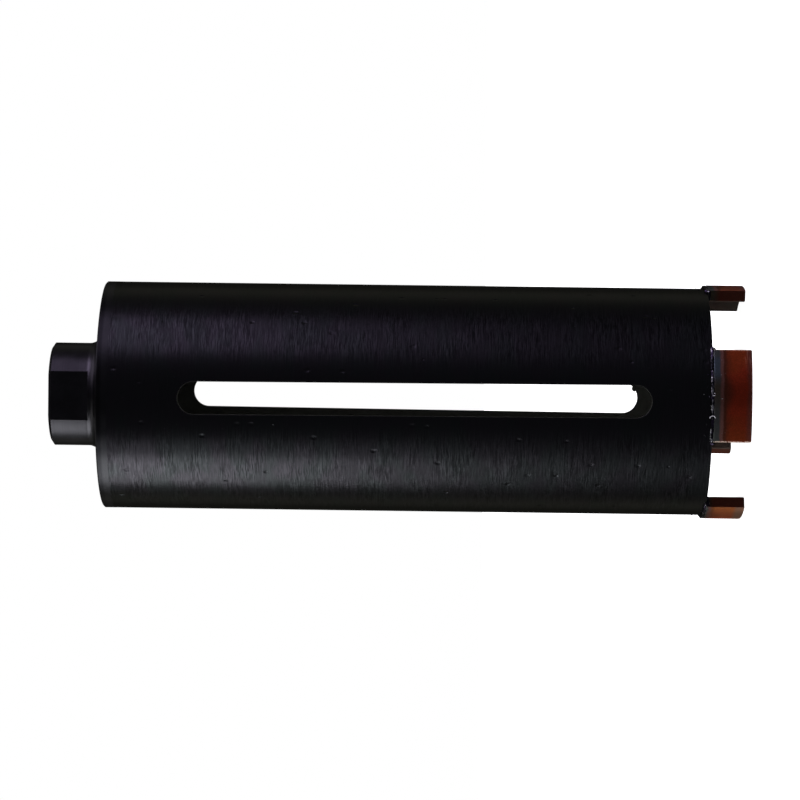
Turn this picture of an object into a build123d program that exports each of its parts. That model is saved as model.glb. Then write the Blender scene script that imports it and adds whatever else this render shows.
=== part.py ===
from build123d import *

import os
from math import asin, degrees

# A dry diamond core bit: a slotted steel tube, closed at the back by a turned hub with a
# female spindle thread, and tipped at the front with sintered diamond segments.
# It stands on the tips of its segments. Sizes are in millimetres, +Z runs from the crown
# to the spindle, and the origin is on the axis, level with the tips.
# Azimuths are degrees about +Z, counted from the -Y side towards +X.

# Barrel
TUBE_DIAMETER = 60.0
TUBE_WALL = 2.0
BARREL_LENGTH = 158.25  # from the tube's front rim to the back rim of the hub's flange
JOINT_GROOVE = 0.05  # bevel on both sides of the joint between tube and flange

# Slots that let the dust out and a stuck core be levered free
SLOT_WIDTH = 8.4
SLOT_FROM_RIM = 15.5  # wall left between the front rim and a slot
SLOT_FROM_BACK = 21.05  # from a slot to the flange's back rim
SLOT_EDGE = 0.15  # radius that rounds off a slot's outer edge
SLOT_AZIMUTHS = (-0.8, 177.8)
SLOT_LEAN = -0.25  # degrees by which a slot strays from the tube's axis

# Diamond segments
SEGMENT_LENGTH = 24.0  # across the outer face, end to end
SEGMENT_THICKNESS = 3.3
SEGMENT_HEIGHT = 10.0
SEGMENT_RELIEF = 0.9  # how far the outer face stands proud of the tube
SEGMENT_FOOT = 0.4  # bevel along the foot, where the weld runs
SEGMENT_EDGE = 0.25  # break on the free edges
SEGMENT_AZIMUTHS = (3.2, 95.2, 184.5, 274.0)  # a quarter turn apart, as near as they are set

# Weld beads
WELD_LEG = 0.9  # fillet in the corner between a segment's end and the rim

# Turned hub
FLANGE_RIM = 3.0  # height of the flange's rim, back of the tube
SPIGOT_DEPTH = 5.0  # how far the hub reaches into the tube
SPIGOT_CLEARANCE = 0.05
EDGE_BREAK = 0.3
BACK_RISE = 1.7  # rise of the flange's coned back, from its rim to the hub
HUB_DIAMETER = 27.2
HUB_HEIGHT = 14.2  # from the flange's back rim to the hub's end
HUB_FILLET = 3.0
HUB_CHAMFER_DROP = 0.75
HUB_CHAMFER_INSET = 1.1
FLATS_ACROSS = 24.0
FLATS_LENGTH = 10.45  # down from the hub's end
FLATS_AZIMUTH = -2.3

# Spindle thread, M16 x 2, made as its tapping hole
THREAD_DIAMETER = 16.0
THREAD_PITCH = 2.0
COUNTERSINK_STEP = 0.5  # how far the countersink is wider than the thread, all round

# Places along the axis
RIM_Z = SEGMENT_HEIGHT
BACK_Z = RIM_Z + BARREL_LENGTH
SHOULDER_Z = BACK_Z - FLANGE_RIM
SPIGOT_Z = SHOULDER_Z - SPIGOT_DEPTH
HUB_END_Z = BACK_Z + HUB_HEIGHT
SLOT_LENGTH = BARREL_LENGTH - SLOT_FROM_RIM - SLOT_FROM_BACK
SLOT_MIDDLE_Z = RIM_Z + SLOT_FROM_RIM + SLOT_LENGTH / 2

# Radii
TUBE_RADIUS = TUBE_DIAMETER / 2
TUBE_BORE_RADIUS = TUBE_RADIUS - TUBE_WALL
HUB_RADIUS = HUB_DIAMETER / 2
TAPPING_RADIUS = (THREAD_DIAMETER - THREAD_PITCH) / 2
CROWN_RADIUS = TUBE_RADIUS + SEGMENT_RELIEF
SEGMENT_HALF_ANGLE = degrees(asin(SEGMENT_LENGTH / 2 / CROWN_RADIUS))
WELD_WIDTH = SEGMENT_RELIEF - SEGMENT_FOOT

FULL_TURN = 360.0
X_AZIMUTH = 90.0  # azimuth of +X, where a profile is drawn before it is turned


def section(*profile):
    """A face in the XZ plane with (radius, height) points as its corners."""
    return Plane.XZ * make_face(Polyline(*profile, close=True))


def sector(face, half_angle, azimuth):
    """Turn a face in the XZ plane through part of a circle, centred on an azimuth."""
    body = revolve(face, Axis.Z, revolution_arc=2 * half_angle)
    return Rot(0, 0, azimuth - X_AZIMUTH - half_angle) * body


def slot_cutter(azimuth):
    """A round-ended bar that reaches from the axis out through one side of the tube."""
    outline = Plane.XZ * SlotOverall(SLOT_LENGTH, SLOT_WIDTH, rotation=90)
    bar = extrude(outline, amount=TUBE_DIAMETER)
    return Rot(0, 0, azimuth) * Pos(0, 0, SLOT_MIDDLE_Z) * Rot(0, SLOT_LEAN, 0) * bar


def slot_mouth(tube, azimuth):
    """The edges that bound one slot on the tube's outer face."""
    outward = Vector(0, -1, 0).rotate(Axis.Z, azimuth)
    across = Vector(1, 0, 0).rotate(Axis.Z, azimuth)

    def bounds_slot(edge):
        middle = edge @ 0.5
        on_outer_face = middle.dot(outward) > TUBE_RADIUS - TUBE_WALL / 2
        beside_slot = abs(middle.dot(across)) < SLOT_WIDTH
        between_ends = abs(middle.Z - SLOT_MIDDLE_Z) < SLOT_LENGTH / 2 + SLOT_EDGE
        return on_outer_face and beside_slot and between_ends

    return tube.edges().filter_by(bounds_slot)


def barrel_tube():
    """The steel tube, with its slots, square front rim and bevelled back end."""
    tube = revolve(
        section(
            (TUBE_BORE_RADIUS, RIM_Z),
            (TUBE_RADIUS, RIM_Z),
            (TUBE_RADIUS, SHOULDER_Z - JOINT_GROOVE),
            (TUBE_RADIUS - JOINT_GROOVE, SHOULDER_Z),
            (TUBE_BORE_RADIUS, SHOULDER_Z),
        ),
        Axis.Z,
    )
    for azimuth in SLOT_AZIMUTHS:
        tube -= slot_cutter(azimuth)
        tube = fillet(slot_mouth(tube, azimuth), SLOT_EDGE)
    return tube


def hub_profile():
    """Half section of the hub: spigot, flange, coned back, filleted neck and bore."""
    spigot_radius = TUBE_BORE_RADIUS - SPIGOT_CLEARANCE
    countersink_radius = THREAD_DIAMETER / 2 + COUNTERSINK_STEP
    countersink_depth = countersink_radius - TAPPING_RADIUS
    neck_foot = (HUB_RADIUS, BACK_Z + BACK_RISE)
    outline = make_face(
        Polyline(
            (TAPPING_RADIUS, SPIGOT_Z),
            (spigot_radius - EDGE_BREAK, SPIGOT_Z),
            (spigot_radius, SPIGOT_Z + EDGE_BREAK),
            (spigot_radius, SHOULDER_Z),
            (TUBE_RADIUS - JOINT_GROOVE, SHOULDER_Z),
            (TUBE_RADIUS, SHOULDER_Z + JOINT_GROOVE),
            (TUBE_RADIUS, BACK_Z - EDGE_BREAK),
            (TUBE_RADIUS - EDGE_BREAK, BACK_Z),
            neck_foot,
            (HUB_RADIUS, HUB_END_Z - HUB_CHAMFER_DROP),
            (HUB_RADIUS - HUB_CHAMFER_INSET, HUB_END_Z),
            (countersink_radius, HUB_END_Z),
            (TAPPING_RADIUS, HUB_END_Z - countersink_depth),
            close=True,
        )
    )
    return fillet(outline.vertices().sort_by_distance(neck_foot)[0], HUB_FILLET)


def flat_cutter(azimuth):
    """A bar that mills one wrench flat and bevels the flat's edge at the hub's end."""
    flat = FLATS_ACROSS / 2
    bevel = HUB_CHAMFER_DROP
    outline = Plane.YZ * make_face(
        Polyline(
            (-flat, HUB_END_Z - FLATS_LENGTH),
            (-flat, HUB_END_Z - bevel),
            (-flat + bevel, HUB_END_Z),
            (-HUB_DIAMETER, HUB_END_Z),
            (-HUB_DIAMETER, HUB_END_Z - FLATS_LENGTH),
            close=True,
        )
    )
    return Rot(0, 0, azimuth) * extrude(outline, amount=HUB_RADIUS, both=True)


def threaded_hub():
    """The hub, turned in one piece with its flange, and milled for a wrench."""
    hub = revolve(Plane.XZ * hub_profile(), Axis.Z)
    for side in (0, FULL_TURN / 2):
        hub -= flat_cutter(FLATS_AZIMUTH + side)
    return hub


def segment(azimuth):
    """One sintered segment, butted against the tube's rim, with its free edges broken."""
    inner_radius = CROWN_RADIUS - SEGMENT_THICKNESS
    profile = section(
        (inner_radius, 0),
        (CROWN_RADIUS, 0),
        (CROWN_RADIUS, SEGMENT_HEIGHT - SEGMENT_FOOT),
        (CROWN_RADIUS - SEGMENT_FOOT, SEGMENT_HEIGHT),
        (inner_radius, SEGMENT_HEIGHT),
    )
    block = sector(profile, SEGMENT_HALF_ANGLE, azimuth)
    free_edges = block.edges().filter_by(
        lambda edge: edge.center().Z < SEGMENT_HEIGHT - 2 * SEGMENT_FOOT
    )
    return chamfer(free_edges, SEGMENT_EDGE)


def end_fillet(azimuth, side):
    """Weld metal in the corner between the rim and a segment's end, on the given side."""
    corner = Plane.XZ.offset(TUBE_BORE_RADIUS) * make_face(
        Polyline(
            (0, RIM_Z),
            (side * WELD_LEG, RIM_Z),
            (0, RIM_Z - WELD_LEG),
            close=True,
        )
    )
    depth = TUBE_WALL + WELD_WIDTH
    return Rot(0, 0, azimuth + side * SEGMENT_HALF_ANGLE) * extrude(corner, amount=depth)


def weld_bead(azimuth):
    """The bead round one segment's foot: along its outer edge and into both end corners."""
    overrun = degrees(asin(WELD_LEG / TUBE_RADIUS))
    profile = section(
        (TUBE_RADIUS, RIM_Z),
        (TUBE_RADIUS + WELD_WIDTH, RIM_Z),
        (TUBE_RADIUS, RIM_Z + WELD_WIDTH),
    )
    bead = sector(profile, SEGMENT_HALF_ANGLE + overrun, azimuth)
    for side in (-1, 1):
        bead += end_fillet(azimuth, side)
    return bead


def main():
    nodes = {"barrel_tube": barrel_tube(), "threaded_hub": threaded_hub()}
    for number, azimuth in enumerate(SEGMENT_AZIMUTHS, start=1):
        nodes[f"segment_{number}"] = segment(azimuth)
        nodes[f"weld_bead_{number}"] = weld_bead(azimuth)

    os.makedirs("parts", exist_ok=True)
    for name, shape in nodes.items():
        export_step(shape, f"parts/{name}.step")


main()
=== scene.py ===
"""Diamond core bit: a slotted barrel on a turned hub, tipped with sintered segments.

Sizes are in metres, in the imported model's own frame: the bit stands on the tips of its
segments, with its axis on +Z and the spindle end up. Azimuths are in degrees about +Z,
counted from the -Y side towards +X.
"""

import logging
import math
from collections.abc import Iterable
from dataclasses import dataclass
from enum import Enum
from functools import cached_property

import bmesh
import bpy
from mathutils import Matrix, Vector, noise


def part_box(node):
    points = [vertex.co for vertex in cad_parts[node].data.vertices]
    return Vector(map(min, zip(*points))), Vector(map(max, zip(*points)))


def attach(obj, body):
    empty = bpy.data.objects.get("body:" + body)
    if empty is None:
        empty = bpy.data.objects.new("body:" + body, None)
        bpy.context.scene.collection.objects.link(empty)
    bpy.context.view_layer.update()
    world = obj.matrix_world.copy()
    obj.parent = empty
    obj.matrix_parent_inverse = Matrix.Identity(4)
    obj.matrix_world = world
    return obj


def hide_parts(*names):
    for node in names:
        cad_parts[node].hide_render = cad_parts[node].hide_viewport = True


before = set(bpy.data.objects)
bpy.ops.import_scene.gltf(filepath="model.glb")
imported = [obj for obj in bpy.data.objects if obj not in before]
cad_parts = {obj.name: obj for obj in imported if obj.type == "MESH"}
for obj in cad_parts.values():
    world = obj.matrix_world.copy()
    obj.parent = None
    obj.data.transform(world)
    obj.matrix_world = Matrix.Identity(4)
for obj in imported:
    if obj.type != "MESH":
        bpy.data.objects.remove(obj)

LOG = logging.getLogger("core_bit")

MM = 0.001
PICTURE_SIDE = 800  # pixels
SENSOR = 36.0  # millimetres
PACKED_NORMALS = "custom_normal"
MERGE = 0.001 * MM  # points nearer than this are one
CREASE = 20.0  # degrees between two faces, past which their edge is kept sharp
ROUGH_CREASE = 50.0  # the same on rough metal
FULL_TURN = 360.0
QUARTER_TURN = math.pi / 2
X_AZIMUTH = 90.0  # azimuth of +X

Piece = bpy.types.Object
Shape = bmesh.types.BMesh
Material = bpy.types.Material
Socket = bpy.types.NodeSocket
Feed = Socket | float | tuple
Pair = tuple[float, float]
Triple = tuple[float, float, float]
Colour = Triple


class Slot(Enum):
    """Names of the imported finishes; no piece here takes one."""

    LACQUER = "lacquer_black"
    HUB = "hub_black"
    WELD = "weld_metal"


# ---------------------------------------------------------------- helpers


def spot(radius: float, azimuth: float, height: float = 0.0) -> Vector:
    """The point at a radius, an azimuth in degrees and a height."""
    turn = math.radians(azimuth)
    return Vector((radius * math.sin(turn), -radius * math.cos(turn), height))


def new_piece(name: str, shape: Shape) -> Piece:
    """Turn a bmesh into a piece of the scene, with its doubles merged and faces outward.

    Args:
        name: The piece's name.
        shape: The bmesh, which is freed.

    Returns:
        The new object, at the origin.
    """
    bmesh.ops.remove_doubles(shape, verts=shape.verts, dist=MERGE)
    bmesh.ops.recalc_face_normals(shape, faces=shape.faces)
    mesh = bpy.data.meshes.new(name)
    shape.to_mesh(mesh)
    shape.free()
    if PACKED_NORMALS in mesh.attributes:
        mesh.attributes.remove(mesh.attributes[PACKED_NORMALS])
    piece = bpy.data.objects.new(name, mesh)
    bpy.context.scene.collection.objects.link(piece)
    return piece


def packed_shape(node: str) -> Shape:
    """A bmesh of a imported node's shape, with its loose triangles merged.

    Args:
        node: The node's name.

    Returns:
        The bmesh.
    """
    shape = bmesh.new()
    shape.from_mesh(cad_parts[node].data)
    bmesh.ops.remove_doubles(shape, verts=shape.verts, dist=MERGE)
    return shape


def dress(pieces: Iterable[Piece], material: Material) -> None:
    """Give pieces a material in every one of their slots.

    Args:
        pieces: The pieces, new or packed.
        material: The material.
    """
    for piece in pieces:
        if not piece.material_slots:
            piece.data.materials.append(material)
        for held in piece.material_slots:
            held.link = "OBJECT"
            held.material = material


def mounted(name: str, shape: Shape, angle: float = CREASE) -> Piece:
    """Turn a bmesh into a smooth piece that rides on the bit's one body.

    Args:
        name: The piece's name.
        shape: The bmesh, which is freed.
        angle: Degrees between faces, past which an edge stays sharp.

    Returns:
        The piece.
    """
    piece = new_piece(name, shape)
    piece.data.polygons.foreach_set("use_smooth", [True] * len(piece.data.polygons))
    piece.data.set_sharp_from_angle(angle=math.radians(angle))
    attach(piece, "root")
    return piece


def close_ends(shape: Shape) -> None:
    """Fill the open ends of a swept skin."""
    rims = [edge for edge in shape.edges if edge.is_boundary]
    bmesh.ops.holes_fill(shape, edges=rims, sides=0)


def sweep_ring(
    shape: Shape,
    ring: list[bmesh.types.BMVert],
    place: Triple,
    sweep: float,
    steps: int,
    start: float = 0.0,
) -> None:
    """Stand a flat ring up, carry it to its place, and sweep it about +Z into a closed skin.

    Args:
        shape: What holds the ring, and takes the skin.
        ring: The ring's corners, round the origin in the XY plane.
        place: Where the ring's middle goes.
        sweep: Degrees to sweep through. A full turn joins its end to its start.
        steps: Parts of the sweep.
        start: Degrees to turn the ring on by, before the sweep.
    """
    edges = list(dict.fromkeys(edge for corner in ring for edge in corner.link_edges))
    upright = Matrix.Rotation(QUARTER_TURN, 3, "X")
    bmesh.ops.rotate(shape, verts=ring, cent=(0, 0, 0), matrix=upright)
    bmesh.ops.translate(shape, verts=ring, vec=place)
    turn = Matrix.Rotation(math.radians(start), 3, "Z")
    bmesh.ops.rotate(shape, verts=ring, cent=(0, 0, 0), matrix=turn)
    whole = sweep >= FULL_TURN
    bmesh.ops.spin(
        shape, geom=ring + edges, axis=(0, 0, 1), cent=(0, 0, 0),
        angle=math.radians(sweep), steps=steps, use_merge=whole,
    )
    if not whole:
        close_ends(shape)


class Wiring:
    """Adds nodes to one node tree and joins them."""

    def __init__(self, tree: bpy.types.NodeTree) -> None:
        """Start on an empty tree."""
        self.tree = tree
        tree.nodes.clear()

    def node(self, kind: str, feeds: dict | None = None, **settings: object) -> bpy.types.Node:
        """Add a node.

        Args:
            kind: The node's type.
            feeds: What goes into its inputs, each a plain value or another node's output.
            settings: The node's own properties.

        Returns:
            The new node.
        """
        made = self.tree.nodes.new(kind)
        for name, value in settings.items():
            setattr(made, name, value)
        for socket, value in (feeds or {}).items():
            self.feed(made.inputs[socket], value)
        return made

    def feed(self, socket: Socket, value: Feed) -> None:
        """Link an output to a socket, or set the socket's own value.

        Args:
            socket: The input.
            value: An output, or a plain value.
        """
        if isinstance(value, Socket):
            self.tree.links.new(value, socket)
        elif isinstance(value, tuple) and socket.type == "RGBA" and len(value) == 3:
            socket.default_value = (*value, 1.0)
        else:
            socket.default_value = value

    def sum(self, kind: str, *values: Feed, clamp: bool = False) -> Socket:
        """The result of one operation of a Math node."""
        feeds = dict(enumerate(values))
        return self.node("ShaderNodeMath", feeds, operation=kind, use_clamp=clamp).outputs[0]

    def level(
        self, value: Feed, start: float, end: float, low: float = 0.0, high: float = 1.0
    ) -> Socket:
        """Map a value's range smoothly onto another, and hold it beyond the ends.

        Args:
            value: What is mapped.
            start: Where the result is low.
            end: Where the result is high.
            low: The result at the start.
            high: The result at the end.

        Returns:
            The mapped value.
        """
        feeds = {0: value, 1: start, 2: end, 3: low, 4: high}
        kind = "SMOOTHSTEP"
        return self.node("ShaderNodeMapRange", feeds, interpolation_type=kind).outputs[0]

    def paint(self, factor: Feed, under: Feed, over: Feed) -> Socket:
        """Lay one colour over another."""
        feeds = {0: factor, 6: under, 7: over}
        return self.node("ShaderNodeMix", feeds, data_type="RGBA").outputs[2]


class Surface(Wiring):
    """One material, whose patterns all read Object coordinates."""

    def __init__(self, name: str) -> None:
        """Start the material with its coordinates.

        Args:
            name: The material's name.
        """
        self.material = bpy.data.materials.new(name)
        self.material.use_nodes = True
        super().__init__(self.material.node_tree)
        self.place = self.node("ShaderNodeTexCoord").outputs["Object"]

    @cached_property
    def parts(self) -> bpy.types.bpy_prop_collection:
        """The coordinates apart."""
        return self.node("ShaderNodeSeparateXYZ", {0: self.place}).outputs

    @property
    def east(self) -> Feed:
        """The way along X."""
        return self.parts["X"]

    @property
    def north(self) -> Feed:
        """The way along Y."""
        return self.parts["Y"]

    @property
    def height(self) -> Feed:
        """The way along Z."""
        return self.parts["Z"]

    @cached_property
    def radius(self) -> Feed:
        """Measure the distance from the axis.

        Returns:
            The distance.
        """
        flat = self.node(
            "ShaderNodeVectorMath", {0: self.place, 1: (1.0, 1.0, 0.0)}, operation="MULTIPLY"
        )
        length = self.node("ShaderNodeVectorMath", {0: flat.outputs[0]}, operation="LENGTH")
        return length.outputs["Value"]

    def grid(self, size: Triple, place: Feed | None = None) -> Feed:
        """Coordinates that count in cells.

        Args:
            size: A cell's size along X, Y and Z, in metres.
            place: The coordinates to count in, or the surface's own.

        Returns:
            The coordinates.
        """
        feeds = {
            "Vector": self.place if place is None else place,
            "Scale": tuple(1.0 / side for side in size),
        }
        return self.node("ShaderNodeMapping", feeds).outputs[0]

    def grain(self, place: Feed, detail: float = 2.0, roughness: float = 0.5) -> Feed:
        """Noise between 0 and 1, with one feature for each unit of its coordinates."""
        feeds = {"Vector": place, "Scale": 1.0, "Detail": detail, "Roughness": roughness}
        return self.node("ShaderNodeTexNoise", feeds).outputs["Fac"]

    def specks(self, size: Triple | float, detail: float = 2.0, roughness: float = 0.5) -> Feed:
        """Noise between 0 and 1, with features of a size, in metres."""
        cell = size if isinstance(size, tuple) else (size,) * 3
        return self.grain(self.grid(cell), detail, roughness)

    def turned(self, azimuth: float) -> Feed:
        """Coordinates turned about the axis, so that an azimuth comes to lie on -Y."""
        feeds = {"Vector": self.place, "Rotation": (0.0, 0.0, -math.radians(azimuth))}
        return self.node("ShaderNodeMapping", feeds).outputs[0]

    def times(self, tone: Feed, factor: Feed) -> Feed:
        """Multiply a colour.

        Args:
            tone: The colour.
            factor: What it is multiplied by.

        Returns:
            The new colour.
        """
        grey = self.node("ShaderNodeCombineColor", {0: factor, 1: factor, 2: factor}).outputs[0]
        feeds = {0: 1.0, 6: tone, 7: grey}
        kind = {"data_type": "RGBA", "blend_type": "MULTIPLY"}
        return self.node("ShaderNodeMix", feeds, **kind).outputs[2]

    def relief(self, height: Feed, depth: float, normal: Feed | None = None) -> Feed:
        """A normal that follows a height.

        Args:
            height: The height, between 0 and 1.
            depth: How deep that is, in metres.
            normal: The normal under it, if it isn't the surface's own.

        Returns:
            The normal.
        """
        feeds = {"Height": height, "Distance": depth, "Strength": 1.0}
        if normal is not None:
            feeds["Normal"] = normal
        return self.node("ShaderNodeBump", feeds).outputs[0]

    def cover(self, light: Socket) -> Material:
        """Put a shader's light on the surface, which finishes the material."""
        self.node("ShaderNodeOutputMaterial", {"Surface": light})
        return self.material

    def close(self, feeds: dict) -> Material:
        """Cover the surface with one plain shader.

        Args:
            feeds: What goes into the shader's inputs.

        Returns:
            The finished material.
        """
        return self.cover(self.node("ShaderNodeBsdfPrincipled", feeds).outputs[0])


# ---------------------------------------------------------------- finishes


@dataclass(frozen=True)
class BrushedLacquer:
    """Thin black lacquer over steel that was brushed round and round."""

    name: str = "brushed_black_lacquer"
    tone: Colour = (0.0365, 0.0348, 0.0378)
    cloud: Colour = (0.0332, 0.0356, 0.0358)
    # Matt finish inside the bore and slots, made lighter to lift the shade there: partly the real
    # finish, partly painted light.
    inside: Colour = (0.074, 0.076, 0.064)
    # Near black on the slots' rounded lips: painted shade that takes out the light they catch.
    shaded_lip: Colour = (0.006, 0.006, 0.006)
    facing: Pair = (0.94, 0.98)  # how squarely the brushed face looks outward
    rounded: Pair = (0.04, 0.16)  # and where a slot's rounded lip begins
    tube_radius: float = 30 * MM
    streak_length: float = 7 * MM
    streak_width: float = 0.32 * MM
    fine_share: float = 0.45  # of the streaks, beside the coarse ones
    contrast: Pair = (0.40, 0.64)  # of the noise that makes them
    middling: float = 0.45  # mark where there are no streaks
    wander: float = 0.5 * MM
    wander_size: float = 4 * MM
    patch_size: Triple = (9 * MM, 9 * MM, 5 * MM)
    patch_strength: Pair = (0.45, 1.15)
    # Where the streaks show is painted sheen: they are weak by the slots' plane and on the front's
    # +X flank.
    calm_strength: float = 0.12
    flank_sheen_strength: float = 0.2
    calm: Pair = (7 * MM, 13 * MM)  # from the slots' plane, where the streaks are made weak: painted sheen, following the light
    flank: Pair = (20.5 * MM, 24.0 * MM)  # +X, where the front's streaks are made weak: painted sheen, following the light
    front: Pair = (-14 * MM, -7 * MM)  # Y, where the front ends
    dent_spacing: float = 5 * MM
    dent_depth: float = 0.09 * MM
    dent_chance: Pair = (0.85, 0.93)  # cells past this have one
    dent_reach: float = 0.21  # of the spacing
    dent_ragged: float = 0.12
    ragged_size: float = 0.8 * MM
    cloud_size: Triple = (12 * MM, 12 * MM, 7 * MM)
    streak_tone: Pair = (1.05, 0.53)  # how much the marks lighten the tone
    streak_depth: float = 0.006 * MM
    roughness: Pair = (0.32, 0.345)

    def streaks(self, s: Surface) -> Feed:
        """Marks of the brush, nearly even beside the slots and on the front's +X flank, and
        strongest between them. How strongly they show there follows the light, not the brushing:
        painted sheen.

        Args:
            s: The surface.

        Returns:
            The marks, from 0 to 1.
        """
        drift = s.specks(self.wander_size, 1.0)
        shift = s.sum("MULTIPLY", s.sum("SUBTRACT", drift, 0.5), self.wander)
        push = s.node("ShaderNodeCombineXYZ", {2: shift}).outputs[0]
        bent = s.node("ShaderNodeVectorMath", {0: s.place, 1: push}, operation="ADD").outputs[0]
        length, width = self.streak_length, self.streak_width
        coarse = s.grain(s.grid((length, length, width), bent), 3.0, 0.65)
        fine = s.grain(s.grid((length * 0.35, length * 0.35, width * 0.5), bent), 2.0, 0.6)
        share = self.fine_share
        both = s.sum("MULTIPLY_ADD", fine, share, s.sum("MULTIPLY", coarse, 1.0 - share))
        marks = s.level(both, *self.contrast)
        across = s.sum("ABSOLUTE", s.east)
        # The streaks are made weak on the front's +X flank: painted sheen.
        flank = s.level(s.east, *self.flank, 1.0, self.flank_sheen_strength)
        wear_and_sheen = s.sum("MAXIMUM", flank, s.level(s.north, *self.front))
        patches = s.specks(self.patch_size)
        reach = s.sum("MULTIPLY", s.level(across, *self.calm, self.calm_strength, 1.0), wear_and_sheen)
        strength = s.sum("MULTIPLY", reach, s.level(patches, 0.35, 0.6, *self.patch_strength))
        swing = s.sum("SUBTRACT", marks, self.middling)
        return s.sum("MULTIPLY_ADD", swing, strength, self.middling)

    def dents(self, s: Surface) -> Feed:
        """Small, sparse pits.

        Args:
            s: The surface.

        Returns:
            The height, which is 1 outside them.
        """
        turn = s.sum("ARCTAN2", s.east, s.sum("MULTIPLY", s.north, -1.0))
        arc = s.sum("MULTIPLY", turn, self.tube_radius)
        sheet = s.node("ShaderNodeCombineXYZ", {0: arc, 1: s.height}).outputs[0]
        gap = self.dent_spacing
        cells = {"Vector": s.grid((gap * 0.7, gap, gap), sheet), "Scale": 1.0}
        pits = s.node("ShaderNodeTexVoronoi", cells, voronoi_dimensions="2D")
        chosen = s.node("ShaderNodeSeparateColor", {0: pits.outputs["Color"]}).outputs[0]
        reach = s.level(chosen, *self.dent_chance, 0.0001, self.dent_reach)
        ragged = s.sum("SUBTRACT", s.specks(self.ragged_size), 0.5)
        away = s.sum("MULTIPLY_ADD", ragged, self.dent_ragged, pits.outputs["Distance"])
        near = s.sum("DIVIDE", away, reach, clamp=True)
        return s.level(near, 0.0, 1.0)

    def outward(self, s: Surface) -> Feed:
        """How squarely the surface faces away from the axis.

        Args:
            s: The surface.

        Returns:
            1 where it faces straight outward, and 0 where it is square to that.
        """
        flat = s.node("ShaderNodeCombineXYZ", {0: s.east, 1: s.north}).outputs[0]
        normal = s.node("ShaderNodeNewGeometry").outputs["True Normal"]
        dot = s.node("ShaderNodeVectorMath", {0: flat, 1: normal}, operation="DOT_PRODUCT")
        return s.sum("DIVIDE", dot.outputs["Value"], s.radius)

    def make(self) -> Material:
        """Build the material.

        Returns:
            The material.
        """
        s = Surface(self.name)
        marks = self.streaks(s)
        outward = self.outward(s)
        outside = s.level(outward, *self.facing)
        # The rounded lips take a near-black colour, which is painted shade.
        inside = s.paint(s.level(outward, *self.rounded), self.inside, self.shaded_lip)
        clouds = s.specks(self.cloud_size, 3.0)
        tone = s.paint(s.level(clouds, 0.42, 0.62), self.tone, self.cloud)
        tone = s.times(tone, s.sum("MULTIPLY_ADD", marks, *self.streak_tone))
        scratched = s.relief(marks, self.streak_depth)
        dented = s.relief(self.dents(s), self.dent_depth, scratched)
        around = s.node("ShaderNodeTangent", direction_type="RADIAL", axis="Z").outputs[0]
        return s.close(
            {
                "Base Color": s.paint(outside, inside, tone),
                "Metallic": outside,
                "Roughness": s.level(clouds, 0.3, 0.7, *self.roughness),
                "Specular IOR Level": 0.25,
                "Specular Tint": (0.85, 0.85, 0.8),
                "Anisotropic": 0.5,
                "Anisotropic Rotation": 0.25,
                "Tangent": around,
                "Normal": dented,
            }
        )


@dataclass(frozen=True)
class TurnedBlack:
    """Blackened steel off the lathe, with the fine rings that the tool left."""

    name: str = "turned_black_steel"
    tone: Colour = (0.037, 0.036, 0.038)
    # The flange's rim, and still more its back edge, take darker tones than the hub: painted shade
    # that dims their reflections.
    rim: Colour = (0.034, 0.034, 0.035)
    edge: Colour = (0.021, 0.021, 0.022)
    edge_from: Pair = (166.6 * MM, 167.2 * MM)
    thread: Colour = (0.20, 0.19, 0.18)
    bore: Pair = (8.30 * MM, 8.05 * MM)  # where the bright thread begins
    flange: Pair = (26 * MM, 29 * MM)  # radius where the rim's darker tone, a painted shade, begins
    ring: float = 0.12 * MM
    ring_depth: float = 0.001 * MM
    smudge: float = 6 * MM

    def make(self) -> Material:
        """Build the material.

        Returns:
            The material.
        """
        s = Surface(self.name)
        across = s.node("ShaderNodeCombineXYZ", {0: s.radius, 2: s.height}).outputs[0]
        rings = s.grain(s.grid((self.ring, 1.0, self.ring), across), 2.0, 0.6)
        smudge = s.specks(self.smudge, 3.0)
        # Darker on the flange's rim and towards its back edge: painted shade.
        rim = s.paint(s.level(s.height, *self.edge_from), self.rim, self.edge)
        tone = s.paint(s.level(s.radius, *self.flange), self.tone, rim)
        tone = s.paint(s.level(s.radius, *self.bore), tone, self.thread)
        tone = s.times(tone, s.level(smudge, 0.35, 0.65, 0.88, 1.1))
        return s.close(
            {
                "Base Color": s.times(tone, s.level(rings, 0.3, 0.7, 0.88, 1.12)),
                "Metallic": 1.0,
                "Roughness": s.level(smudge, 0.3, 0.7, 0.28, 0.34),
                "Normal": s.relief(rings, self.ring_depth),
            }
        )


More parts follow.
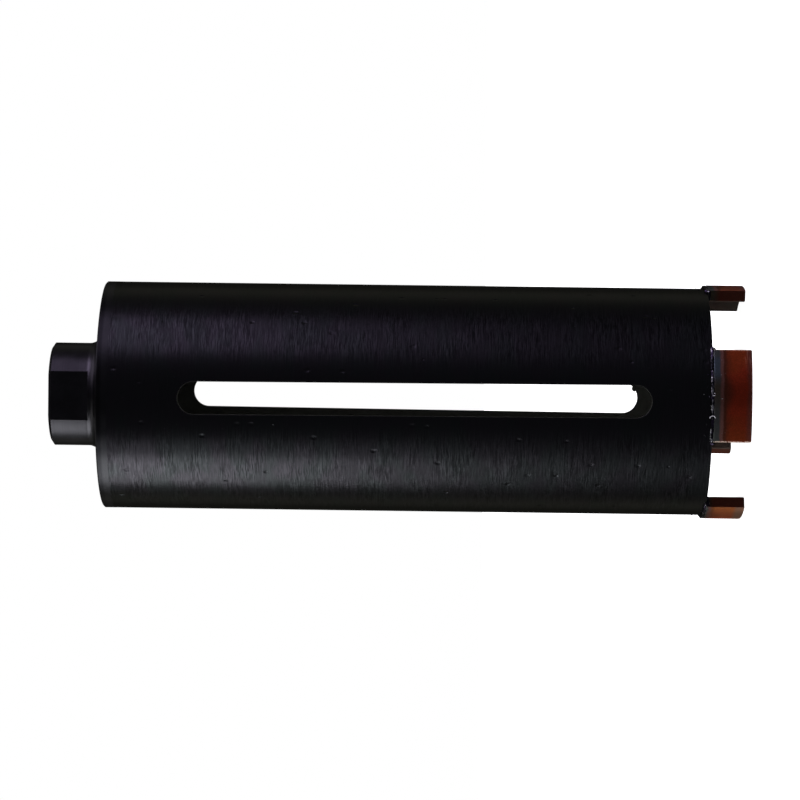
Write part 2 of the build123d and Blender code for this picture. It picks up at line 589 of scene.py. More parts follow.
@dataclass(frozen=True)
class Sinter:
    """Sintered segment: coppery outside, heat-tinted at its foot with a painted dark reflection
    beside it, darker at its ends with painted shade, raw inside.
    """

    name: str
    azimuth: float
    body: Colour = (0.66, 0.080, 0.031)
    heat: float = 0.0  # how much farther the heat of the weld reached
    heat_and_reflection_dark: float = 0.85  # how dark the face beside the foot gets: heat tint in the band, painted dark reflection in the dark patch
    dark_patch: float = 0.9 * MM  # place of the dark patch along the segment, a painted dark reflection over the heat tint
    rubbed: Pair = (0.95, 0.45)  # how bright its two ends' edges are worn
    tip: Colour = (0.36, 0.105, 0.070)
    gilding: Colour = (0.84, 1.24, 0.92)
    foot: Colour = (0.150, 0.160, 0.145)
    foot_blue: Colour = (0.150, 0.190, 0.215)
    stripe: Colour = (0.42, 0.19, 0.15)
    # The next colour serves both the heat-tinted band at the foot and the dark patch, which is
    # painted dark reflection; the foot's colour in that patch is painted dark reflection too.
    heat_tint_and_dark_patch: Colour = (0.20, 0.065, 0.036)
    dark_patch_foot: Colour = (0.115, 0.085, 0.050)
    # The end faces' colours, darker than the outer face's, are painted shade.
    end: Colour = (0.23, 0.072, 0.044)
    end_foot: Colour = (0.14, 0.12, 0.08)
    raw: Colour = (0.105, 0.066, 0.048)
    wear_and_sheen: Colour = (0.60, 0.46, 0.36)
    spark: Colour = (1.0, 0.95, 0.85)
    outer: Pair = (30.60 * MM, 30.72 * MM)  # where the outer face begins
    inner: Pair = (27.95 * MM, 27.80 * MM)
    side: Pair = (11.50 * MM, 11.72 * MM)  # where the ends' worn edges begin
    tip_edge: Pair = (0.42 * MM, 0.22 * MM)
    tip_wear: float = 0.25
    gilt_from: Pair = (4 * MM, 11 * MM)  # out from the middle, along the segment
    shaded: Pair = (-9 * MM, 9 * MM)  # the same, from the darker end to the lighter
    blue_from: Pair = (1 * MM, 6 * MM)
    blue_to: Pair = (11 * MM, 9 * MM)
    score_from: Pair = (6 * MM, 10 * MM)
    tip_to: Pair = (0.4 * MM, 1.9 * MM)  # this and the next are heights
    dark_patch_from: Pair = (4.9 * MM, 7.9 * MM)
    brown_from: Pair = (6.3 * MM, 7.0 * MM)
    stripe_from: Pair = (7.1 * MM, 7.6 * MM)
    foot_from: Pair = (7.8 * MM, 8.5 * MM)
    end_foot_from: Pair = (6.5 * MM, 8.5 * MM)
    crumbs_from: Pair = (6 * MM, 7 * MM)
    score_below: Pair = (2.4 * MM, 1.4 * MM)
    dark_patch_reach: Pair = (0.8 * MM, 6.0 * MM)
    dark_patch_rise: float = 1.1 * MM  # how much lower the dark patch's painted darkening comes there
    waver: float = 1.0 * MM  # of all these heights
    waver_size: float = 4 * MM
    patch: Triple = (5 * MM, 5 * MM, 7 * MM)
    crumb: Triple = (0.55 * MM, 0.55 * MM, 0.8 * MM)
    grit: float = 0.30 * MM
    grit_depth: float = 0.012 * MM
    worn_grain: float = 0.45 * MM
    score: Triple = (4 * MM, 4 * MM, 0.35 * MM)

    def outer_face(self, s: Surface, across: Feed, line: Feed) -> Feed:
        """The outer face's colours, from the tip up to the foot.

        Args:
            s: The surface.
            across: Distance from the segment's middle, along its length.
            line: Height above the tip, with a little drift in it.

        Returns:
            The colour.
        """
        patch = s.sum("SUBTRACT", s.specks(self.patch), 0.5)
        gilt = tuple(c * g for c, g in zip(self.body, self.gilding))
        outward = s.sum("MULTIPLY_ADD", patch, 14 * MM, s.sum("ABSOLUTE", across))
        tone = s.paint(s.level(outward, *self.gilt_from, 0.0, 0.85), self.body, gilt)
        tone = s.times(tone, s.level(across, *self.shaded, 0.88, 1.06))
        tone = s.paint(s.level(line, *self.tip_to), self.tip, tone)
        # The dark patch beside the foot, with the darkening and the foot colour laid on it below,
        # is painted dark reflection over the heat tint.
        aside = s.sum("ABSOLUTE", s.sum("SUBTRACT", across, self.dark_patch))
        aside = s.sum("MULTIPLY_ADD", patch, 6 * MM, aside)
        black = s.level(aside, *self.dark_patch_reach, 1.0, 0.0)
        dark_patch_line = s.sum("MULTIPLY_ADD", patch, 3.0, black)
        dark_patch_line = s.sum("MULTIPLY_ADD", dark_patch_line, self.dark_patch_rise, line)
        tone = s.paint(s.level(dark_patch_line, *self.dark_patch_from, 0.0, self.heat_and_reflection_dark), tone, self.heat_tint_and_dark_patch)
        tone = s.paint(s.level(line, *self.brown_from, 0.0, self.heat_and_reflection_dark), tone, self.heat_tint_and_dark_patch)
        tone = s.paint(s.level(line, *self.stripe_from), tone, self.stripe)
        tone = s.times(tone, s.sum("MULTIPLY_ADD", black, -0.30, 1.0))
        blue = s.sum("MULTIPLY", s.level(across, *self.blue_from), s.level(across, *self.blue_to))
        blue = s.sum("MULTIPLY_ADD", patch, 1.2, blue, clamp=True)
        foot = s.paint(blue, self.foot, self.foot_blue)
        foot = s.paint(s.sum("MULTIPLY", black, 0.8), foot, self.dark_patch_foot)
        tone = s.paint(s.level(line, *self.foot_from), tone, foot)
        crumb = s.level(s.specks(self.crumb, 1.0), 0.75, 0.78)
        stuck = s.sum("MULTIPLY", crumb, s.level(line, *self.crumbs_from))
        return s.paint(stuck, tone, self.spark)

    def wear(self, s: Surface, across: Feed, outer: Feed, inner: Feed) -> Feed:
        """How far the edges are worn to bright grit, from 0 to 1.

        Args:
            s: The surface.
            across: Distance from the segment's middle, along its length.
            outer: 1 on the outer face.
            inner: 1 on the inner face.

        Returns:
            The share.
        """
        low = s.level(s.sum("MULTIPLY", across, -1.0), *self.side, 0.0, self.rubbed[0])
        high = s.level(across, *self.side, 0.0, self.rubbed[1])
        tip = s.level(s.height, *self.tip_edge, 0.0, self.tip_wear)
        edges = s.sum("MAXIMUM", s.sum("MAXIMUM", low, high), tip)
        crumbs = s.specks(self.worn_grain, 2.0, 0.7)
        grit = s.sum("MULTIPLY", edges, s.level(crumbs, 0.42, 0.56))
        bore = s.sum("MULTIPLY", s.level(s.sum("ABSOLUTE", across), *self.side), inner)
        scored = s.level(s.specks(self.score), 0.54, 0.66, 0.0, 0.5)
        low_down = s.level(s.height, *self.score_below)
        corner = s.sum("MULTIPLY", s.level(across, *self.score_from), low_down)
        scored = s.sum("MULTIPLY", s.sum("MULTIPLY", scored, corner), self.rubbed[1])
        outside = s.sum("MULTIPLY", s.sum("MAXIMUM", grit, scored), outer)
        return s.sum("MAXIMUM", outside, s.sum("MULTIPLY", bore, s.level(crumbs, 0.36, 0.56)))

    def make(self) -> Material:
        """Build the material.

        Returns:
            The material.
        """
        s = Surface(self.name)
        across = s.node("ShaderNodeSeparateXYZ", {0: s.turned(self.azimuth)}).outputs["X"]
        drift = s.specks(self.waver_size, 3.0)
        level = s.sum("ADD", s.height, self.heat - self.waver / 2)
        line = s.sum("MULTIPLY_ADD", drift, self.waver, level)
        grit = s.specks(self.grit, 3.0, 0.6)
        outer = s.level(s.radius, *self.outer)
        inner = s.level(s.radius, *self.inner)
        end = s.paint(s.level(line, *self.end_foot_from), self.end, self.end_foot)
        tone = s.paint(outer, end, self.outer_face(s, across, line))
        tone = s.paint(inner, tone, self.raw)
        wear = self.wear(s, across, outer, inner)
        tone = s.paint(wear, tone, self.wear_and_sheen)
        return s.close(
            {
                "Base Color": s.times(tone, s.level(grit, 0.35, 0.70, 0.88, 1.12)),
                "Metallic": s.sum("SUBTRACT", 1.0, s.sum("MAXIMUM", inner, wear)),
                "Roughness": s.level(grit, 0.2, 0.8, 0.42, 0.52),
                "Normal": s.relief(grit, self.grit_depth),
            }
        )


@dataclass(frozen=True)
class WeldMetal:
    """Rough weld metal, dark and blue with heat, with bright patches that are partly shiny metal
    and partly painted glints.
    """

    name: str = "weld_metal"
    dark: Colour = (0.028, 0.028, 0.033)
    blue: Colour = (0.046, 0.035, 0.064)
    # Bright patches of metal, which also paint the weld's glints: painted highlight.
    bright: Colour = (0.75, 0.75, 0.76)
    metallic: float = 1.0
    lump: float = 1.3 * MM
    depth: float = 0.08 * MM
    heat: float = 2.5 * MM

    def make(self) -> Material:
        """Build the material.

        Returns:
            The material.
        """
        s = Surface(self.name)
        lumps = s.specks((2 * self.lump, 2 * self.lump, 0.35 * self.lump), 3.0, 0.6)
        heat = s.specks(self.heat)
        tone = s.paint(s.level(heat, 0.45, 0.6), self.dark, self.blue)
        return s.close(
            {
                # The bright patches paint the weld's glints: painted highlight.
                "Base Color": s.paint(s.level(lumps, 0.57, 0.62), tone, self.bright),
                "Metallic": self.metallic,
                "Roughness": s.level(heat, 0.3, 0.7, 0.18, 0.34),
                "Normal": s.relief(lumps, self.depth),
            }
        )


@dataclass(frozen=True)
class PaleFloor:
    """Matt white studio floor, which keeps a soft shadow and isn't in the way from below."""

    name: str = "pale_floor"
    colour: Colour = (0.8, 0.8, 0.8)
    glow: float = 0.96
    mottle: float = 40 * MM
    dim: float = 0.98  # darkest mottle
    roughness: float = 0.9

    def make(self) -> Material:
        """Build the material.

        Returns:
            The material.
        """
        s = Surface(self.name)
        mottle = s.specks(self.mottle)
        matt = {
            "Base Color": s.paint(mottle, tuple(c * self.dim for c in self.colour), self.colour),
            "Roughness": self.roughness,
            "Emission Color": (1.0, 1.0, 1.0),
            "Emission Strength": s.sum("MULTIPLY", background_seen(s), self.glow),
        }
        under = s.node("ShaderNodeNewGeometry").outputs["Backfacing"]
        lens = s.node("ShaderNodeLightPath").outputs["Is Camera Ray"]
        feeds = {
            0: s.sum("MULTIPLY", under, lens),
            1: s.node("ShaderNodeBsdfPrincipled", matt).outputs[0],
            2: s.node("ShaderNodeBsdfTransparent").outputs[0],
        }
        return s.cover(s.node("ShaderNodeMixShader", feeds).outputs[0])


def background_seen(wiring: Wiring) -> Socket:
    """Tell the rays that may see the background from those that only light the bit.

    Glossy rays are among them, but in this studio none gets that far: the floor is hidden
    from them, and the dark flags stand in front of the world.

    Args:
        wiring: The tree that asks.

    Returns:
        1 for camera, glossy and transmission rays, and 0 for the others.
    """
    path = wiring.node("ShaderNodeLightPath").outputs
    lens_or_gloss = wiring.sum("MAXIMUM", path["Is Camera Ray"], path["Is Glossy Ray"])
    return wiring.sum("MAXIMUM", lens_or_gloss, path["Is Transmission Ray"])


# ---------------------------------------------------------------- sub-assemblies


@dataclass
class Barrel:
    """The slotted tube."""

    node: str = "barrel_tube"
    finish: BrushedLacquer = BrushedLacquer()
    round_wall: float = 0.998  # cosine between a wall's facet and the true wall
    burr_place: Triple = (3.5 * MM, 28.9 * MM, 26.3 * MM)
    burr_size: Triple = (0.85 * MM, 0.85 * MM, 0.75 * MM)
    joint_height: float = 165.25 * MM
    joint_radius: float = 29.998 * MM
    joint_width: float = 0.16 * MM
    joint_steps: int = 360
    joint_crease: float = 30.0
    burr_rough: float = 0.30
    burr_grain: float = 0.7 * MM

    def build(self) -> list[Piece]:
        """Dress the tube, weld it to the hub, and leave a burr in its back slot.

        Returns:
            The pieces.
        """
        pieces = [self.tube(), self.burr(), self.joint()]
        dress(pieces, self.finish.make())
        return pieces

    def tube(self) -> Piece:
        """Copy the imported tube, with both walls' shading made truly round.

        Returns:
            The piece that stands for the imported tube.
        """
        piece = mounted("tube_body", packed_shape(self.node))
        mesh = piece.data
        normals = [corner.vector.copy() for corner in mesh.corner_normals]
        for face in mesh.polygons:
            facing = face.normal.dot(face.center.xy.normalized().to_3d())
            if abs(facing) > self.round_wall:
                for corner in face.loop_indices:
                    place = mesh.vertices[mesh.loops[corner].vertex_index].co
                    normals[corner] = place.xy.normalized().to_3d() * math.copysign(1.0, facing)
        mesh.normals_split_custom_set(normals)
        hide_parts(self.node)
        return piece

    def joint(self) -> Piece:
        """Lay the weld between tube and hub, ground flush and lacquered over.

        Returns:
            The weld.
        """
        shape = bmesh.new()
        side = self.joint_width / 2
        ring = bmesh.ops.create_grid(shape, x_segments=1, y_segments=1, size=side)["verts"]
        bmesh.ops.delete(shape, geom=shape.faces[:], context="FACES_ONLY")
        place = (self.joint_radius - side, 0, self.joint_height)
        sweep_ring(shape, ring, place, FULL_TURN, self.joint_steps)
        return mounted("joint_weld", shape, self.joint_crease)

    def burr(self) -> Piece:
        """Leave a crumb of steel in the lower end of the back slot.

        Returns:
            The crumb.
        """
        shape = bmesh.new()
        bmesh.ops.create_icosphere(shape, subdivisions=4, radius=1.0)
        bmesh.ops.scale(shape, verts=shape.verts, vec=self.burr_size)
        for corner in shape.verts:
            corner.co *= 1.0 + self.burr_rough * noise.noise(corner.co / self.burr_grain)
        bmesh.ops.translate(shape, verts=shape.verts, vec=self.burr_place)
        return mounted("slot_burr", shape, ROUGH_CREASE)


@dataclass
class Hub:
    """The turned hub, with its spindle thread cut."""

    node: str = "threaded_hub"
    finish: TurnedBlack = TurnedBlack()
    crest_radius: float = 7 * MM
    root_radius: float = 8 * MM
    mouth_radius: float = 8.5 * MM
    pitch: float = 2 * MM
    crest_flat: float = 0.5 * MM
    root_flat: float = 0.25 * MM
    bury: float = 0.05 * MM
    steps: int = 72  # of one turn
    thread_crease: float = 25.0

    def build(self) -> list[Piece]:
        """Make the hub with its bore opened to the thread's root, and the thread in it.

        Returns:
            The pieces.
        """
        low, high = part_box(self.node)
        pieces = [self.opened_hub(high.z), self.thread(low.z, high.z)]
        dress(pieces, self.finish.make())
        return pieces

    def opened_hub(self, end: float) -> Piece:
        """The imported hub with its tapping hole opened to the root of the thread.

        Args:
            end: Height of the hub's end face.

        Returns:
            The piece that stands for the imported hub.
        """
        shape = packed_shape(self.node)
        near = 0.02 * MM
        countersunk = end - (self.mouth_radius - self.crest_radius)
        opened = end - (self.mouth_radius - self.root_radius)
        for corner in shape.verts:
            radius = corner.co.xy.length
            if abs(radius - self.crest_radius) < near:
                corner.co.xy *= self.root_radius / radius
                if abs(corner.co.z - countersunk) < near:
                    corner.co.z = opened
        piece = mounted("hub_body", shape)
        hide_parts(self.node)
        return piece

    def thread(self, low: float, high: float) -> Piece:
        """The ridge of the spindle thread, wound up the bore and trimmed at both ends.

        Args:
            low: Height of the bore's lower end.
            high: Height of its upper end.

        Returns:
            The thread.
        """
        shape = bmesh.new()
        half_foot = (self.pitch - self.root_flat) / 2
        half_crest = self.crest_flat / 2
        outside = self.root_radius + self.bury
        turns = math.ceil((high - low) / self.pitch) + 1
        corners = [
            shape.verts.new((outside, 0.0, -half_foot)),
            shape.verts.new((self.crest_radius, 0.0, -half_crest)),
            shape.verts.new((self.crest_radius, 0.0, half_crest)),
            shape.verts.new((outside, 0.0, half_foot)),
        ]
        edges = [shape.edges.new((corners[i], corners[i - 1])) for i in range(4)]
        bmesh.ops.translate(shape, verts=corners, vec=(0, 0, low - self.pitch / 2))
        bmesh.ops.spin(
            shape,
            geom=corners + edges,
            axis=(0, 0, 1),
            cent=(0, 0, 0),
            dvec=(0, 0, self.pitch / self.steps),
            angle=math.tau * turns,
            steps=self.steps * turns,
        )
        top = high - (self.mouth_radius - self.root_radius)
        for height, side in ((low + self.bury, -1), (top, 1)):
            bmesh.ops.bisect_plane(
                shape,
                geom=shape.verts[:] + shape.edges[:] + shape.faces[:],
                plane_co=(0, 0, height),
                plane_no=(0, 0, side),
                clear_outer=True,
                dist=0.0001 * MM,
            )
        close_ends(shape)
        for corner in shape.verts:
            cone = self.mouth_radius - (high - corner.co.z)
            radius = corner.co.xy.length
            if radius < cone:
                corner.co.xy *= min(cone, self.root_radius) / radius
        return mounted("spindle_thread", shape, self.thread_crease)


@dataclass
class WeldRun:
    """The weld laid round one segment's foot, with its ripples and its spatter."""

    number: int
    azimuth: float
    rim: float = 10 * MM
    tube_radius: float = 30 * MM
    limit: float = 30.86 * MM
    half_angle: float = 23.6
    thickness: float = 0.60 * MM
    sides: int = 16
    steps: int = 170
    stand_out: float = 0.25 * MM  # of the run's middle, from the tube
    lift: float = 0.06 * MM  # and above the rim
    sway: float = 0.5 * MM
    ripple: float = 0.85 * MM
    ripple_swell: float = 0.03
    lump_swell: float = 0.42
    lump_length: float = 3.0 * MM
    lump_height: float = 0.8 * MM
    rough: float = 0.35
    rough_grain: float = 0.45 * MM
    corner_lumps: int = 6
    corner_fine: int = 3  # how often the faces of a corner's lumps are halved
    corner_depth: float = 1.7 * MM  # from the tube's face inward, where they start
    corner_run: float = 1.9 * MM  # from there outward
    corner_angle: Pair = (23.3, 0.5)  # middling, and how much it varies
    corner_drop: Pair = (0.28 * MM, 0.12 * MM)
    corner_size: Pair = (0.46 * MM, 0.10 * MM)
    drops: int = 16
    drop_fine: int = 2
    drop_stand: float = 0.2  # of its size
    drop_height: Pair = (0.4 * MM, 2.6 * MM)  # lowest, and how much higher
    drop_size: Pair = (0.07 * MM, 0.12 * MM)  # smallest, and how much larger

    def build(self) -> Piece:
        """Lay the run, its corners and its spatter as one piece.

        Returns:
            The piece.
        """
        shape = bmesh.new()
        self.bead(shape)
        for side in (-1, 1):
            self.corner(shape, side)
        self.spatter(shape)
        return mounted(f"weld_run_{self.number}", shape, ROUGH_CREASE)

    def bead(self, shape: Shape) -> None:
        """Sweep a round section along the foot, and let it swell and ripple.

        Args:
            shape: What it is added to.
        """
        reach, level = self.tube_radius + self.stand_out, self.rim + self.lift
        ring = bmesh.ops.create_circle(shape, segments=self.sides, radius=self.thickness)["verts"]
        start = self.azimuth - X_AZIMUTH - self.half_angle
        sweep_ring(shape, ring, (reach, 0, level), 2 * self.half_angle, self.steps, start)
        for corner in shape.verts:
            across = corner.co.xy.normalized()
            turn = math.degrees(math.atan2(across.x, -across.y)) - self.azimuth
            turn = (turn + 180) % 360 - 180
            sway = noise.noise(Vector((turn / 6.0, self.number * 9.7, 0.5))) * self.sway
            middle = Vector((across.x * reach, across.y * reach, level + sway))
            arc = math.radians(turn) * reach
            wave = math.cos(math.tau * arc / self.ripple)
            rise = (corner.co.z - level) / self.lump_height
            flow = Vector((arc / self.lump_length, rise, self.number * 5.1))
            lumps = noise.noise(flow) + 0.35 * noise.noise(flow * 2.7)
            fade = min(1.0, 0.35 + (self.half_angle - abs(turn)) / 2.0)
            swell = fade * (1.0 + self.ripple_swell * wave + self.lump_swell * lumps)
            corner.co = middle + (corner.co - middle) * swell
            self.hold_in(corner)

    def hold_in(self, corner: bmesh.types.BMVert) -> None:
        """Move a point that stands too far out back to the limit."""
        radius = corner.co.xy.length
        if radius > self.limit:
            corner.co.xy *= self.limit / radius

    def lump(self, shape: Shape, middle: Vector, size: float, fine: int) -> None:
        """Add one rough ball of weld metal.

        Args:
            shape: What it is added to.
            middle: Its centre.
            size: Its radius.
            fine: How often its faces are halved.
        """
        ball = bmesh.ops.create_icosphere(shape, subdivisions=fine, radius=size)["verts"]
        bmesh.ops.translate(shape, verts=ball, vec=middle)
        for corner in ball:
            away = corner.co - middle
            swell = self.rough * noise.noise(corner.co / self.rough_grain)
            corner.co = middle + away * (1.0 + swell)
            self.hold_in(corner)

    def corner(self, shape: Shape, side: int) -> None:
        """Fill the corner between the rim and one end of the segment.

        Args:
            shape: What it is added to.
            side: Which end, -1 or 1.
        """
        for step in range(self.corner_lumps):
            share = step / (self.corner_lumps - 1)
            radius = self.tube_radius - self.corner_depth + share * self.corner_run
            wobble = noise.noise(Vector((self.number * 3.1, side * 5.3, step * 1.7)))
            middling = (self.corner_angle, self.corner_drop, self.corner_size)
            angle, drop, size = (base + varies * wobble for base, varies in middling)
            middle = spot(radius, self.azimuth + side * angle, self.rim - drop)
            self.lump(shape, middle, size, self.corner_fine)

    def spatter(self, shape: Shape) -> None:
        """Stick small drops to the tube beside the run.

        Args:
            shape: What they are added to.
        """
        low, span = self.drop_height
        least, more = self.drop_size
        for drop in range(self.drops):
            throw = noise.cell_vector(Vector((drop + 0.5, self.number * 7 + 0.5, 0.5)))
            angle = self.azimuth + (2.0 * throw.x - 1.0) * self.half_angle
            height = self.rim + low + span * throw.y ** 2
            size = least + more * throw.z ** 2
            middle = spot(self.tube_radius + self.drop_stand * size, angle, height)
            self.lump(shape, middle, size, self.drop_fine)


@dataclass(frozen=True)
class WeldCurl:
    """A curl of weld wire stuck beside one segment; its pale finish is a painted highlight."""

    name: str = "weld_curl"
    azimuth: float = -8.0
    height: float = 10.15 * MM
    radius: float = 30.93 * MM
    bend: float = 0.74 * MM
    wire: float = 0.10 * MM
    start: float = -80.0
    sweep: float = 160.0
    sides: int = 10
    steps: int = 28

    def build(self) -> Piece:
        """Bend the wire, and lay it on the weld.

        Returns:
            The piece.
        """
        shape = bmesh.new()
        ring = bmesh.ops.create_circle(shape, segments=self.sides, radius=self.wire)["verts"]
        sweep_ring(shape, ring, (self.bend, 0, 0), self.sweep, self.steps)
        flat = Matrix.Rotation(QUARTER_TURN, 4, "X")
        first = Matrix.Rotation(math.radians(self.start), 4, "Z")
        place = Matrix.Translation(spot(self.radius, self.azimuth, self.height))
        turn = Matrix.Rotation(math.radians(self.azimuth), 4, "Z")
        bmesh.ops.transform(shape, verts=shape.verts, matrix=place @ turn @ flat @ first)
        return mounted(self.name, shape, ROUGH_CREASE)


@dataclass
class Crown:
    """The four diamond segments and the weld round their feet."""

    segments: tuple[Sinter, ...] = (
        Sinter("sintered_segment_1", 3.2),
        # Segment 2 takes paler body and tip colours than the others: painted light, for the lamps
        # grazing its face from its side.
        Sinter(
            "sintered_segment_2", 95.2, (0.66, 0.135, 0.080), heat=-0.1 * MM,
            dark_patch=-4.0 * MM, rubbed=(0.05, 0.5), tip=(0.40, 0.150, 0.110),
        ),
        Sinter(
            "sintered_segment_3", 184.5, heat=0.1 * MM, dark_patch=3.0 * MM, rubbed=(0.4, 0.05),
        ),
        # Segment 4 takes a much brighter, oranger body and tip and a weaker dark patch: painted
        # light, for the lamps on its side.
        Sinter(
            "sintered_segment_4", 274.0, (1.00, 0.225, 0.085), heat=-1.3 * MM, heat_and_reflection_dark=0.35,
            dark_patch=6.0 * MM, rubbed=(0.5, 0.08), tip=(0.70, 0.36, 0.22),
        ),
    )
    weld: WeldMetal = WeldMetal()
    curls: tuple[WeldCurl, ...] = (
        WeldCurl(),
        WeldCurl("weld_twist", 3.6, 9.85 * MM, 30.82 * MM, 0.34 * MM, 0.08 * MM, 130.0, 230.0),
    )
    # Pale and partly matt, so the curls show white under any light: painted highlight.
    wire: WeldMetal = WeldMetal(
        "highlight_weld_wire", (0.50, 0.50, 0.52), (0.52, 0.50, 0.56), metallic=0.35
    )

    def build(self) -> list[Piece]:
        """Dress the segments and their beads, and lay the weld over them.

        Returns:
            The pieces.
        """
        pieces = []
        metal = self.weld.make()
        for number, finish in enumerate(self.segments, start=1):
            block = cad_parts[f"segment_{number}"]
            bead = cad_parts[f"weld_bead_{number}"]
            run = WeldRun(number, finish.azimuth).build()
            dress([block], finish.make())
            dress([bead, run], metal)
            pieces += [block, bead, run]
        curls = [curl.build() for curl in self.curls]
        dress(curls, self.wire.make())
        return pieces + curls


# ---------------------------------------------------------------- studio


@dataclass(frozen=True)
class Softbox:
    """A soft lamp beside the bit, turned towards its axis."""

    name: str
    azimuth: float
    width: float
    height: float
    level: float
    tint: Colour
    centre_z: float = 0.20
    distance: float = 0.5
    aim_z: float | None = None  # level with the lamp unless told otherwise

    def build(self) -> Piece:
        """Hang the lamp.

        Returns:
            The lamp's object.
        """
        lamp = bpy.data.lights.new(self.name, "AREA")
        lamp.shape = "RECTANGLE"
        lamp.size = self.width
        lamp.size_y = self.height
        lamp.energy = self.level * math.pi * self.width * self.height
        lamp.color = self.tint
        holder = bpy.data.objects.new(self.name, lamp)
        bpy.context.scene.collection.objects.link(holder)
        place = spot(self.distance, self.azimuth, self.centre_z)
        aim = Vector((0.0, 0.0, self.centre_z if self.aim_z is None else self.aim_z))
        holder.location = place
        holder.rotation_mode = "QUATERNION"
        holder.rotation_quaternion = (place - aim).to_track_quat("Z", "Y")
        return holder


@dataclass(frozen=True)
class StudioCamera:
    """The camera, level with the middle of the barrel, with the spindle end to its left."""

    place: Triple = (0.11585 * MM, -830.20906 * MM, 82.15482 * MM)
    yaw: float = 0.0098486
    pitch: float = -0.0007824
    roll: float = -0.0128113
    focus: float = 3128.2856  # pixels
    clip: Pair = (0.05, 50.0)

    def build(self) -> Piece:
        """Set the camera up and make it the scene's own.

        Returns:
            The camera's object.
        """
        lens = bpy.data.cameras.new("studio_camera")
        lens.sensor_width = SENSOR
        lens.lens = self.focus * SENSOR / PICTURE_SIDE
        lens.clip_start, lens.clip_end = self.clip
        right, up, ahead = Vector((0, 0, -1)), Vector((1, 0, 0)), Vector((0, 1, 0))
        turn = Matrix.Rotation(self.yaw, 3, up)
        right, ahead = turn @ right, turn @ ahead
        nod = Matrix.Rotation(self.pitch, 3, right)
        up, ahead = nod @ up, nod @ ahead
        tilt = Matrix.Rotation(self.roll, 3, ahead)
        right, up = tilt @ right, tilt @ up
        axes = Matrix((right, up, -ahead)).transposed()
        holder = bpy.data.objects.new("studio_camera", lens)
        bpy.context.scene.collection.objects.link(holder)
        holder.matrix_world = Matrix.Translation(self.place) @ axes.to_4x4()
        bpy.context.scene.camera = holder
        return holder


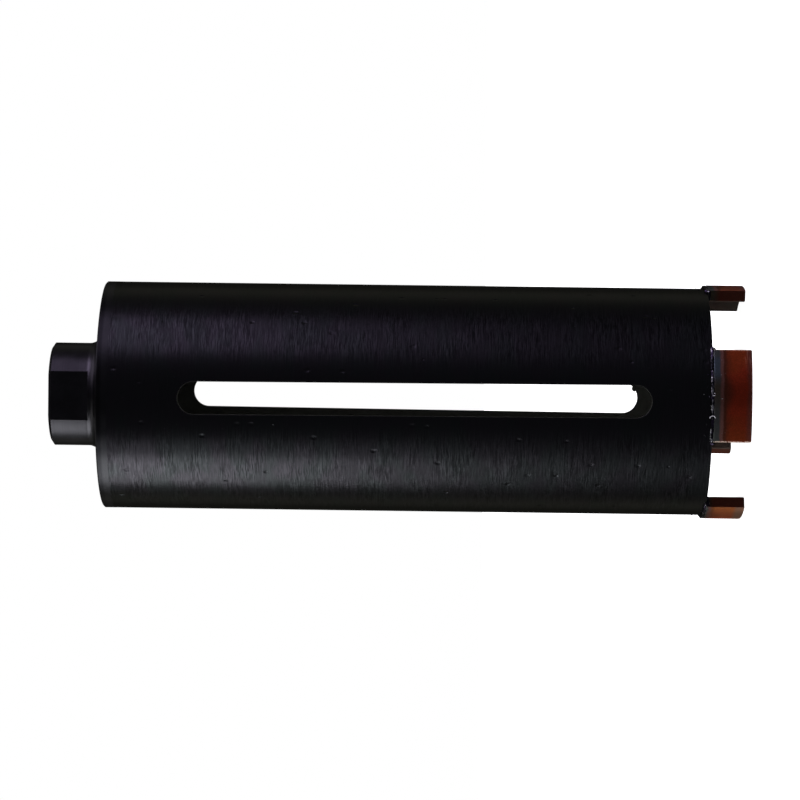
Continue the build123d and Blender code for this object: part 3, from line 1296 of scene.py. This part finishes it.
@dataclass
class Studio:
    """A plain pale floor, soft light, and dark flags that keep the white out of the gloss.

    Metal therefore doesn't show the pale background, and the finishes' colours are set for
    these dark surroundings. Among pale ones the bit is greyer and its segments bright orange.
    """

    floor_side: float = 8.0
    floor_drop: float = 0.02 * MM  # keeps the floor out of the tips' own plane
    fill: float = 0.8
    flag_radius: float = 1.6
    flag_height: float = 3.2
    flag_level: float = 0.066
    flag_side: float = 0.15
    flag_front: Colour = (0.95, 0.94, 1.12)
    flag_back: Colour = (1.0, 1.0, 0.90)
    flag_panels: int = 72
    flag_behind: Pair = (0.55, 0.95)  # Y, where they grow paler
    flag_fall: Pair = (1.00, 1.38)  # Y, where they are dark again
    flag_fall_to: float = 0.12
    flag_top: Pair = (1.45, 1.58)  # height of their darker upper edge
    flag_top_to: float = 0.35
    flag_turn: Pair = (0.0, 0.9)  # Y, from the front's tint to the back's
    camera: StudioCamera = StudioCamera()
    lamps: tuple[Softbox, ...] = (
        Softbox("upper_softbox", 63.0, 0.36, 0.11, 1.07, (1.0, 0.84, 1.28), 0.21),
        Softbox("upper_strip", 68.0, 0.38, 0.30, 3.0, (1.0, 0.86, 1.24), 0.48),
        Softbox("upper_top", 100.0, 0.60, 0.45, 1.0, (1.0, 0.90, 1.16), 0.95, 0.40, 0.17),
        Softbox("lower_top", -100.0, 0.40, 0.45, 0.7, (1.0, 1.0, 1.0), 0.95, 0.40, 0.17),
        Softbox("lower_softbox", -81.0, 0.31, 0.11, 5.3, (0.98, 1.0, 1.06)),
        Softbox("lower_strip", -86.0, 0.34, 0.36, 4.2, (0.98, 1.0, 1.06), 0.51),
        Softbox("lower_wing", -55.0, 0.16, 0.11, 1.2, (0.98, 1.0, 1.10)),
    )

    def build(self) -> None:
        """Set up the camera, lights, floor and flags."""
        self.camera.build()
        for lamp in self.lamps:
            lamp.build()
        self.world()
        self.floor()
        self.flags()

    def world(self) -> None:
        """White to the camera, and an even fill on the bit. The flags keep it out of the gloss."""
        world = bpy.data.worlds.new("studio")
        bpy.context.scene.world = world
        world.use_nodes = True
        world.cycles.sampling_method = "NONE"
        w = Wiring(world.node_tree)
        rest = 1.0 - self.fill
        strength = w.sum("MULTIPLY_ADD", background_seen(w), rest, self.fill)
        light = w.node("ShaderNodeBackground", {"Color": (1.0, 1.0, 1.0), "Strength": strength})
        w.node("ShaderNodeOutputWorld", {"Surface": light.outputs[0]})

    def floor(self) -> None:
        """The floor that the bit stands on, which reflections don't show."""
        shape = bmesh.new()
        bmesh.ops.create_grid(shape, x_segments=1, y_segments=1, size=self.floor_side / 2)
        bmesh.ops.translate(shape, verts=shape.verts, vec=(0, 0, -self.floor_drop))
        floor = new_piece("floor", shape)
        dress([floor], PaleFloor().make())
        floor.visible_glossy = False

    def flags(self) -> None:
        """A drum of dark flags, seen only in reflections, and paler at both sides behind."""
        shape = bmesh.new()
        bmesh.ops.create_cone(
            shape, cap_ends=True, segments=self.flag_panels,
            radius1=self.flag_radius, radius2=self.flag_radius, depth=self.flag_height,
        )
        flags = new_piece("dark_flags", shape)
        s = Surface("dark_cloth")
        rise = s.level(s.north, *self.flag_behind, self.flag_level, self.flag_side)
        fall = s.level(s.north, *self.flag_fall, 1.0, self.flag_fall_to)
        top = s.level(s.height, *self.flag_top, 1.0, self.flag_top_to)
        turn = s.level(s.north, *self.flag_turn)
        cloth = {
            "Base Color": (0.0, 0.0, 0.0),
            "Roughness": 1.0,
            "Specular IOR Level": 0.0,
            "Emission Color": s.paint(turn, self.flag_front, self.flag_back),
            "Emission Strength": s.sum("MULTIPLY", s.sum("MULTIPLY", rise, fall), top),
        }
        dress([flags], s.close(cloth))
        flags.visible_camera = False
        flags.visible_diffuse = False
        flags.visible_transmission = False
        flags.visible_shadow = False


def corners(box: tuple[Vector, Vector]) -> list[list[float]]:
    """A box's two corners as plain lists."""
    return [[float(value) for value in corner] for corner in box]


def main() -> None:
    """Build the bit and its studio, and report every piece."""
    logging.basicConfig(level=logging.INFO, format="%(message)s")
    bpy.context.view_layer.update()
    scene = bpy.context.scene
    scene.view_settings.view_transform = "Standard"
    Studio().build()
    for assembly in (Barrel(), Hub(), Crown()):
        for piece in assembly.build():
            LOG.info("%s: %s", type(assembly).__name__, piece.name)
    bpy.context.view_layer.update()


if __name__ == "__main__":
    main()
